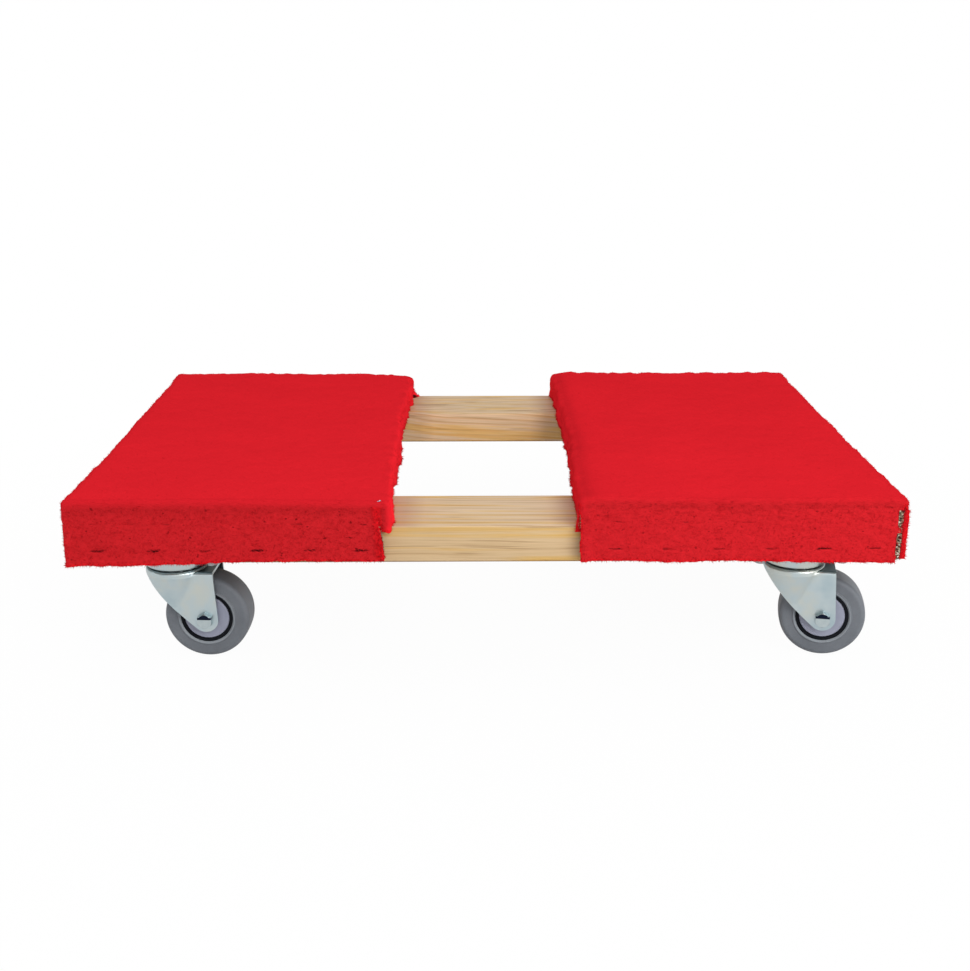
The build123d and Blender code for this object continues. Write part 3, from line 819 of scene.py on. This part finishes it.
    def add_top(self):
        """The top, its rounded edges and its rounded corners."""
        a, b = np.meshgrid(
            folded(BEND, self.length - BEND),
            folded(BEND - self.half, self.half - BEND),
            indexing="ij",
        )
        flat_a = np.clip(a, BEND, self.length - BEND)
        flat_b = np.clip(b, BEND - self.half, self.half - BEND)
        over_a, over_b = np.abs(a - flat_a), np.abs(b - flat_b)
        reach = np.maximum(over_a, over_b)
        less = np.minimum(over_a, over_b) / np.maximum(reach, 1e-9)
        turn = np.where(over_a >= over_b, less, 2.0 - less) * math.pi / 4
        angle = reach / BEND
        out = np.stack((
            np.sign(a - flat_a) * np.sin(angle) * np.cos(turn),
            np.sign(b - flat_b) * np.sin(angle) * np.sin(turn),
            np.cos(angle),
        ), axis=-1)
        plan = np.stack((flat_a, flat_b), axis=-1) + BEND * out[..., :2]
        drop = BEND * (1.0 - np.cos(angle))
        numbers = self.lay(plan, drop, out)
        flat = np.stack((a, b), axis=-1)
        self.add_quads(numbers, flat, flat - flat[0, 0])
        self.find_rim(numbers, plan, out)

    def find_rim(self, numbers, plan, out):
        """The loop of points round the foot of the top, from the inner end of the front."""
        last_a, last_b = numbers.shape[0] - 1, numbers.shape[1] - 1
        loop = [(i, 0) for i in range(last_a)] + [(last_a, j) for j in range(last_b)]
        loop += [(i, last_b) for i in range(last_a, 0, -1)] + [(0, j) for j in range(last_b, 0, -1)]
        loop = loop[BEND_STEPS:] + loop[:BEND_STEPS]
        at = tuple(np.array(loop).T)
        plan, out = plan[at], out[at]
        gaps = np.linalg.norm(np.roll(plan, -1, axis=0) - plan, axis=1)
        self.round = gaps.sum()
        distance = np.concatenate(((0.0,), np.cumsum(gaps)[:-1]))
        laps = np.array((-1, 0, 1))
        self.rim_distance = (distance + laps[:, None] * self.round).ravel()
        self.rim_numbers = np.tile(numbers[at], 3)
        self.rim_plan = np.tile(plan, (3, 1))
        self.rim_out = np.tile(out, (3, 1))
        straights = (last_a - 2 * BEND_STEPS, last_b - 2 * BEND_STEPS)
        self.straight = {}
        first = 0
        for number, face in enumerate(FACES):
            last = first + straights[number % 2]
            self.straight[face] = (distance[first], distance[last])
            first = last + 2 * BEND_STEPS
        corner_length = self.straight["end"][0] - self.straight["front"][1]
        self.seams = [
            self.nearest(self.straight[face][0] - corner_length / 2 + self.own.seams[face])
            for face in FACES
        ]
        self.seams.append(self.seams[0] + self.round)

    def nearest(self, distance):
        """The rim point nearest to a distance round the rim."""
        return self.rim_distance[np.abs(self.rim_distance - distance).argmin()]

    def rim_at(self, distance):
        """Plan place and outward direction at distances round the rim."""
        held = np.concatenate((self.rim_plan, self.rim_out), axis=1)
        found = [np.interp(distance, self.rim_distance, column) for column in held.T]
        return np.stack(found[:2], axis=-1), np.stack(found[2:], axis=-1)

    def straight_at(self, face, distance):
        """The same along a face that runs straight on past its corners."""
        start, end = self.straight[face]
        (first, last), (out, _) = self.rim_at(np.array((start, end)))
        along = (last - first) / (end - start)
        plan = first + along * (distance - start)[..., None]
        return plan, np.broadcast_to(out, (*distance.shape, 3))

    def add_flap(self, face):
        """One flap, from the rim down to its hem."""
        number = FACES.index(face)
        start, end = self.seams[number], self.seams[number + 1]
        chosen = (self.rim_distance > start - 1e-9) & (self.rim_distance < end + 1e-9)
        distance = self.rim_distance[chosen]
        depth = (self.inner_depth if face == "inner" else self.depth) - BEND
        rows = np.linspace(0.0, 1.0, int(round(depth / ROW_STEP)) + 1)
        fall, distance = np.meshgrid(rows, distance, indexing="ij")
        shift, push, unrolled = 0.0 * fall, 0.0 * fall, 0.0 * fall
        ends = ((distance - start, 1.0, 0), (end - distance, -1.0, 1))
        for away, way, which in ends:
            lean, curl, straight_from = self.own.edges[face][which]
            near = np.clip(1.0 - away / EDGE_REACH, 0.0, 1.0) ** 2
            jag = ragged(fall * depth, self.seed + 20 + 2 * number + which) * np.minimum(1.0, 6.0 * fall)
            shift += way * near * (OPENING * np.sqrt(fall) + lean * fall + 0.8 * jag)
            push += near * curl * fall ** 2
            if straight_from:
                unrolled += ease(fall * depth / straight_from) * (away < 2 * QUARTER)
        plan, out = self.rim_at(distance + shift)
        plain, plain_out = self.straight_at(face, distance + shift)
        share = np.clip(unrolled, 0.0, 1.0)[..., None]
        plan = plan + share * (plain - plan)
        out = out + share * (plain_out - out)
        out = out / np.linalg.norm(out, axis=-1, keepdims=True)
        hem = self.hem(face, plan, distance)
        drop = BEND + fall * (depth + hem * fall)
        numbers = np.empty(fall.shape, int)
        numbers[0] = self.rim_numbers[chosen]
        numbers[1:] = self.lay(plan[1:], drop[1:], out[1:], push[1:])
        flat = np.stack((distance, QUARTER + fall * depth), axis=-1)
        strip = self.length + 12 * MM + number * (self.depth + 2 * MM)
        self.add_quads(numbers, flat, np.stack((strip + fall * depth, distance - start), axis=-1))

    def hem(self, face, plan, distance):
        """How much further than planned a flap hangs at its hem."""
        cut = ragged(distance, self.seed + 40 + FACES.index(face))
        if face == "inner":
            across = np.abs(plan[..., 1])
            over_rail = (across > rear_low.y - 1 * MM) & (across < rear_high.y + 1 * MM)
            past_rail = across > rear_high.y + 1 * MM
            free = 1.5 * MM + 1.4 * cut + 3.2 * MM * past_rail
            return np.where(over_rail, -0.4 * MM, free)
        if face == "end":
            return cut - END_SHORTER
        return cut - self.own.hem_lift + self.own.hem_sag * (plan[..., 0] / self.length) ** 2

    def add_quads(self, numbers, flat, atlas):
        """Squares of a grid, with their place on the flat sheet and on the texture map."""
        self.quads.append(quads(numbers))
        self.sheet_map.append(quads(flat))
        self.bake_map.append(quads(atlas))

    def build(self):
        """The closed mesh: pile side, backing side and the cut edge between them."""
        order = slice(None, None, self.sign)
        faces = np.concatenate(self.quads)[:, order]
        sheet_map = np.concatenate(self.sheet_map)[:, order]
        bake_map = np.concatenate(self.bake_map)[:, order]
        count = self.count
        here, ahead = faces.ravel(), np.roll(faces, -1, axis=1).ravel()
        key = np.minimum(here, ahead) * count + np.maximum(here, ahead)
        _, first, uses = np.unique(key, return_index=True, return_counts=True)
        cut = first[uses == 1]
        rim = np.stack((ahead[cut], here[cut], here[cut] + count, ahead[cut] + count), axis=1)
        rim_sheet = np.stack([sheet_map.reshape(-1, 2)[cut]] * 4, axis=1)
        self.faces, self.rim = faces, rim
        self.outer = np.concatenate(self.points)
        self.back = np.concatenate(self.backs)
        edge = np.zeros(count)
        edge[rim[:, :2]] = 1.0
        beside = faces[edge[faces].max(axis=1) > 0.0]
        np.maximum.at(edge, beside.ravel(), RIM_SHARE)
        self.held = {name: np.concatenate(parts) for name, parts in self.values.items()}
        self.held["edge"] = edge

        mesh = bpy.data.meshes.new(f"carpet_{self.side}_sheet")
        everything = np.concatenate((faces, faces[:, ::-1] + count, rim))
        mesh.from_pydata(np.concatenate((self.outer, self.back)).tolist(), [], everything.tolist())
        kinds = np.repeat((0, 1, 2), (len(faces), len(faces), len(rim)))
        mesh.polygons.foreach_set("material_index", kinds.astype(np.int32))
        for name, value in self.held.items():
            hold(mesh, name, np.tile(value, 2))
        hold(mesh, "layer", np.repeat((0.0, 1.0), count))
        flat = np.concatenate((sheet_map, sheet_map[:, ::-1], rim_sheet))
        mesh.uv_layers.new(name="sheet").data.foreach_set("uv", flat.ravel())
        atlas = np.concatenate((*self.atlas(bake_map), self.rim_atlas(len(rim))))
        mesh.uv_layers.new(name="OFBake").data.foreach_set("uv", atlas.ravel())
        for material in (pile, backing, cut_edge):
            mesh.materials.append(material)
        mesh.shade_smooth()
        mesh.set_sharp_from_angle(angle=math.radians(65))
        return placed(mesh.name, mesh)

    def atlas(self, places):
        """Texture places of the pile side, and of the backing side in a flatter band above it."""
        places = places / places.max(axis=(0, 1))
        front = places * (1.0, 0.68)
        behind = places[:, ::-1] * (1.0, 0.27) + (0.0, 0.70)
        return front, behind

    def rim_atlas(self, count):
        """Texture places of the cut edge: a cell each in a narrow band at the top."""
        column = np.arange(count)[:, None] / count + np.array((1.0, 0.0, 0.0, 1.0)) / count
        row = np.broadcast_to((0.98, 0.98, 1.0, 1.0), (count, 4))
        return np.stack((column, row), axis=-1)


# Loose pile: fine three-sided fibres over the carpets, thickest at the cut edges

PILE_PER_M2 = 9000.0
FLAP_PER_M2 = 300000.0
EDGE_PER_M2 = 900000.0
RIM_PER_M2 = 450000.0
STRAY = 0.55
DROOP = 0.5
HOOK = 0.25
FOOT = 0.4 * MM
JUTE_FROM = 0.62
JUTE_REACH = 20.0 * MM
JUTE_SHARE = 0.7

# Where the two colours of strands lie across their texture map: the first place and the spread of shades
RED_COLUMN = ((0.02,), (0.84,))
JUTE_COLUMN = ((0.90,), (0.08,))


def unit(vectors):
    """Vectors brought to length 1."""
    return vectors / np.linalg.norm(vectors, axis=-1, keepdims=True)


def scattered(rng, corners, density):
    """Random places over quads: the quads' numbers, how far down each quad, the places and the normals."""
    across = np.cross(corners[:, 2] - corners[:, 0], corners[:, 3] - corners[:, 1])
    area = np.linalg.norm(across, axis=1) / 2
    picked = np.repeat(np.arange(len(corners)), rng.poisson(density * area))
    u, v = rng.random((2, len(picked), 1))
    chosen = corners[picked]
    first = chosen[:, 0] + (chosen[:, 1] - chosen[:, 0]) * u
    second = chosen[:, 3] + (chosen[:, 2] - chosen[:, 3]) * u
    return picked, v[:, 0], first + (second - first) * v, unit(across[picked])


def fibres(rng, root, normal, hang, length, width):
    """Points of three-sided fibres that stand off a surface and droop where it hangs."""
    count = len(root)
    way = normal + rng.normal(0.0, STRAY, (count, 3))
    way[:, 2] -= DROOP * hang
    way = unit(way)
    lying = (way * normal).sum(axis=1) < 0.2
    way[lying] = unit(way[lying] + 0.7 * normal[lying])
    across = unit(np.cross(way, rng.normal(0.0, 1.0, (count, 3))))
    second = np.cross(way, across)
    foot = root - FOOT * normal
    ring = []
    for turn in (0.0, 2 * math.pi / 3, 4 * math.pi / 3):
        ring.append(foot + (math.cos(turn) * across + math.sin(turn) * second) * width[:, None] / 2)
    tip = root + way * length[:, None] + across * (HOOK * length[:, None])
    return np.stack((*ring, tip), axis=1)


def carpet_strands(carpet):
    """The loose pile of one carpet as a mesh of its own."""
    rng = np.random.default_rng(carpet.seed)
    corners = carpet.outer[carpet.faces]
    hang = carpet.held["flap"][carpet.faces].mean(axis=1)
    cut = carpet.held["edge"][carpet.faces].max(axis=1)
    density = PILE_PER_M2 + (FLAP_PER_M2 - PILE_PER_M2) * hang + EDGE_PER_M2 * cut
    picked, _, root, normal = scattered(rng, corners, density)
    length = (1.0 + 1.2 * rng.random(len(root))) * MM * (1.0 + 0.35 * cut[picked])
    width = (0.5 + 0.4 * rng.random(len(root))) * MM
    pile_points = fibres(rng, root, normal, hang[picked], length, width)
    # Fibres on the flaps are darker, the same painted shade as the flaps' colour.
    pile_shade = (0.85 - 0.4 * hang[picked]) + (0.1 + 0.35 * hang[picked]) * rng.random(len(root))

    edges = np.concatenate((carpet.outer, carpet.back))[carpet.rim]
    _, layer, root, normal = scattered(rng, edges, RIM_PER_M2)
    length = (1.0 + 1.4 * rng.random(len(root))) * MM
    width = (0.4 + 0.4 * rng.random(len(root))) * MM
    rim_points = fibres(rng, root, normal, np.zeros(len(root)), length, width)
    rim_shade = 0.2 + 0.8 * rng.random(len(root))

    points = np.concatenate((pile_points, rim_points))
    shade = np.concatenate((pile_shade, rim_shade))
    x, y, z = root.T
    at_corner = (np.abs(np.abs(x) - carpet.start) < JUTE_REACH) & (y < JUTE_REACH - carpet.half)
    at_corner &= (z < carpet.top - 5 * MM) & (z > carpet.top - carpet.own.jute_drop)
    shows_jute = (layer > JUTE_FROM) | (at_corner & (rng.random(len(root)) < JUTE_SHARE))
    is_jute = np.concatenate((np.zeros(len(pile_shade), bool), shows_jute))
    count = len(points)
    sides = np.array(((0, 1, 3), (1, 2, 3), (2, 0, 3)))
    faces = (4 * np.arange(count)[:, None, None] + sides).reshape(-1, 3)
    # Painted shade: the three foot points of each fibre are darker than its tip.
    by_point = shade[:, None] * np.array((0.75, 0.75, 0.75, 1.0))
    mesh = bpy.data.meshes.new(f"carpet_{carpet.side}_strands")
    mesh.from_pydata(points.reshape(-1, 3).tolist(), [], faces.tolist())
    hold(mesh, "shade", by_point.ravel())
    mesh.polygons.foreach_set("material_index", np.repeat(is_jute, 3).astype(np.int32))
    first, spread = np.where(is_jute, JUTE_COLUMN, RED_COLUMN)
    column = first[:, None] + spread[:, None] * by_point
    row = 0.02 + 0.90 * rng.random((count, 1)) + np.array((0.00, 0.03, 0.06, 0.02))
    atlas = np.stack((column, row), axis=-1).reshape(-1, 2)
    mesh.uv_layers.new(name="OFBake").data.foreach_set("uv", atlas[faces.ravel()].ravel())
    mesh.materials.append(red_strands)
    mesh.materials.append(jute_strands)
    mesh.shade_smooth()
    return placed(mesh.name, mesh)


def sunk_staples(carpet):
    """The carpet's staples, each one moved in or out with the pile that it holds down."""
    node = f"staples_{carpet.side}"
    points = node_points(node)
    for group in staple_groups(points):
        spot = points[group].mean(axis=0)
        along, through = carpet.ways(spot)
        middle = 0.0 if through == 1 else carpet.sign * (carpet.start + carpet.length / 2)
        way = np.sign(spot[through] - middle)
        aside = np.hypot(carpet.outer[:, along] - spot[along], carpet.outer[:, 2] - spot[2])
        near = (aside < 3.5 * MM) & (np.abs(carpet.outer[:, through] - spot[through]) < 25 * MM)
        surface = (way * carpet.outer[near, through]).mean()
        crown = (way * points[group, through]).max()
        points[group, through] += way * (surface - STAPLE_DEPTH - crown)
    mesh = nodes[node].data.copy()
    mesh.name = f"{node}_sunk"
    mesh.vertices.foreach_set("co", points.ravel())
    made = placed(mesh.name, mesh)
    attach(made, "frame")
    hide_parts(node)


def corner_staple(carpet):
    """The one bright staple that shows, on the fold at the left carpet's inner front corner."""
    crown, leg, wire = 2.8 * MM, 5.0 * MM, 0.5 * MM
    out = np.array((0.0, -0.45, 0.89))
    aside = np.abs(carpet.outer[:, 0] - carpet.sign * (carpet.start + 11.0 * MM))
    close = carpet.outer[(aside < 3.0 * MM) & (carpet.outer[:, 1] < 0.0)]
    middle = close[(close @ out).argmax()] + 0.3 * MM * out
    along = np.array((1.0, 0.12, 0.35))
    curve = bpy.data.curves.new("corner_staple", "CURVE")
    curve.dimensions = "3D"
    curve.bevel_depth = wire
    curve.bevel_resolution = 3
    spline = curve.splines.new("POLY")
    steps = ((-0.5, leg), (-0.5, wire), (-0.3, 0.0), (0.3, 0.0), (0.5, wire), (0.5, leg))
    spline.points.add(len(steps) - 1)
    for point, (share, depth) in zip(spline.points, steps):
        point.co = (*(middle + share * crown * along - depth * out), 1.0)
    curve.materials.append(bright_wire)
    made = placed("corner_staple", curve)
    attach(made, "frame")


for side in SIDES:
    carpet = Carpet(side)
    sheet = carpet.build()
    fringe = carpet_strands(carpet)
    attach(sheet, "frame")
    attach(fringe, "frame")
    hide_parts(f"carpet_{side}")
    sunk_staples(carpet)
    if side == "left":
        corner_staple(carpet)


# Floor, world, lights and camera

def white_world():
    """White to the camera, a soft grey as light, and in reflections bright low down and dim overhead."""
    world = bpy.data.worlds.new("studio")
    scene.world = world
    world.use_nodes = True
    world.node_tree.nodes.clear()
    add = node_maker(world.node_tree)

    def background(colour, strength):
        return add("Background", {"Color": colour, "Strength": strength}).outputs[0]

    path = add("LightPath").outputs
    aside, _, height = add("SeparateXYZ", {"Vector": add("TexCoord").outputs["Generated"]}).outputs
    room = ramp(add, height, [
        (0.00, (0.80, 0.82, 0.83)),
        (0.10, WHITE),
        (0.30, (0.86, 0.87, 0.87)),
        (0.52, (0.32, 0.35, 0.37)),
        (0.85, (0.20, 0.22, 0.24)),
    ])
    across = scaled(add, aside, 0.5, 0.5)
    walls = fading(add, across, 0.15, (0.30, 0.34, 0.35), 0.42)
    light = background((*WHITE, 1.0), 0.62)
    mirrored = background(times(add, room, walls), 1.5)
    shown = background((*WHITE, 1.0), 1.0)
    unseen = add("MixShader", {0: path["Is Glossy Ray"], 1: light, 2: mirrored}).outputs[0]
    mix = add("MixShader", {0: path["Is Camera Ray"], 1: unseen, 2: shown})
    add("OutputWorld", {"Surface": mix.outputs[0]})


def floor_material():
    """A pale floor that keeps a faint shadow and fades to plain white, for what is seen directly."""
    add, paint = make_material("studio_floor")
    material = paint({"Base Color": (0.75, 0.75, 0.75, 1.0), "Roughness": 0.9, "Specular IOR Level": 0.0})
    away = add("VectorMath", {0: own_place(add)}, operation="LENGTH").outputs["Value"]
    fade = ranged(add, away, 0.30, 0.85, 0.97, 1.0)
    path = add("LightPath").outputs
    white = add("Emission", {"Color": (*WHITE, 1.0), "Strength": 1.0}).outputs["Emission"]
    seen = calc(add, "MAXIMUM", path["Is Camera Ray"], calc(add, "MULTIPLY", path["Is Glossy Ray"], 0.6))
    held = material.node_tree.nodes
    grey = held["Principled BSDF"].outputs["BSDF"]
    mix = add("MixShader", {0: calc(add, "MULTIPLY", fade, seen), 1: grey, 2: white})
    put(held["Material Output"].inputs["Surface"], mix.outputs["Shader"])
    return material


def add_floor():
    """A wide plain floor."""
    half = 12.0
    mesh = bpy.data.meshes.new("studio_floor")
    corners = [(-half, -half, 0.0), (half, -half, 0.0), (half, half, 0.0), (-half, half, 0.0)]
    mesh.from_pydata(corners, [], [(0, 1, 2, 3)])
    mesh.materials.append(floor_material())
    floor = placed("studio_floor", mesh)


def area_light(name, place, target, size, power):
    """A soft square lamp aimed at a point."""
    lamp = bpy.data.lights.new(name, "AREA")
    lamp.size = size
    lamp.energy = power
    made = placed(name, lamp)
    made.location = place
    made.rotation_euler = (Vector(target) - Vector(place)).to_track_quat("-Z", "Y").to_euler()


def add_camera():
    """The photograph's viewpoint, from a fit to the dolly's corners."""
    focal_pixels = 1334.0
    image_width = 970.0
    pitch = math.radians(17.61)
    yaw = math.radians(0.77)
    roll = math.radians(-0.06)
    camera = bpy.data.cameras.new("camera")
    camera.sensor_width = 36.0
    camera.lens = focal_pixels / image_width * camera.sensor_width
    camera.clip_start = 0.05
    camera.clip_end = 60.0
    made = placed("camera", camera)
    made.location = (-0.0177, -1.3741, 0.5358)
    made.rotation_euler = (math.pi / 2 - pitch, roll, -yaw)
    scene.camera = made


white_world()
add_floor()
area_light("key", (1.1, -2.0, 1.8), (0.0, 0.0, 0.1), 1.5, 29.0)
area_light("top", (0.3, 0.2, 2.6), (0.0, 0.0, 0.1), 1.8, 10.0)
area_light("low", (1.5, -1.5, 0.5), (0.2, -0.2, 0.1), 0.8, 10.0)
area_light("left", (-1.9, -0.5, 0.8), (0.1, 0.0, 0.15), 1.0, 7.0)
add_camera()
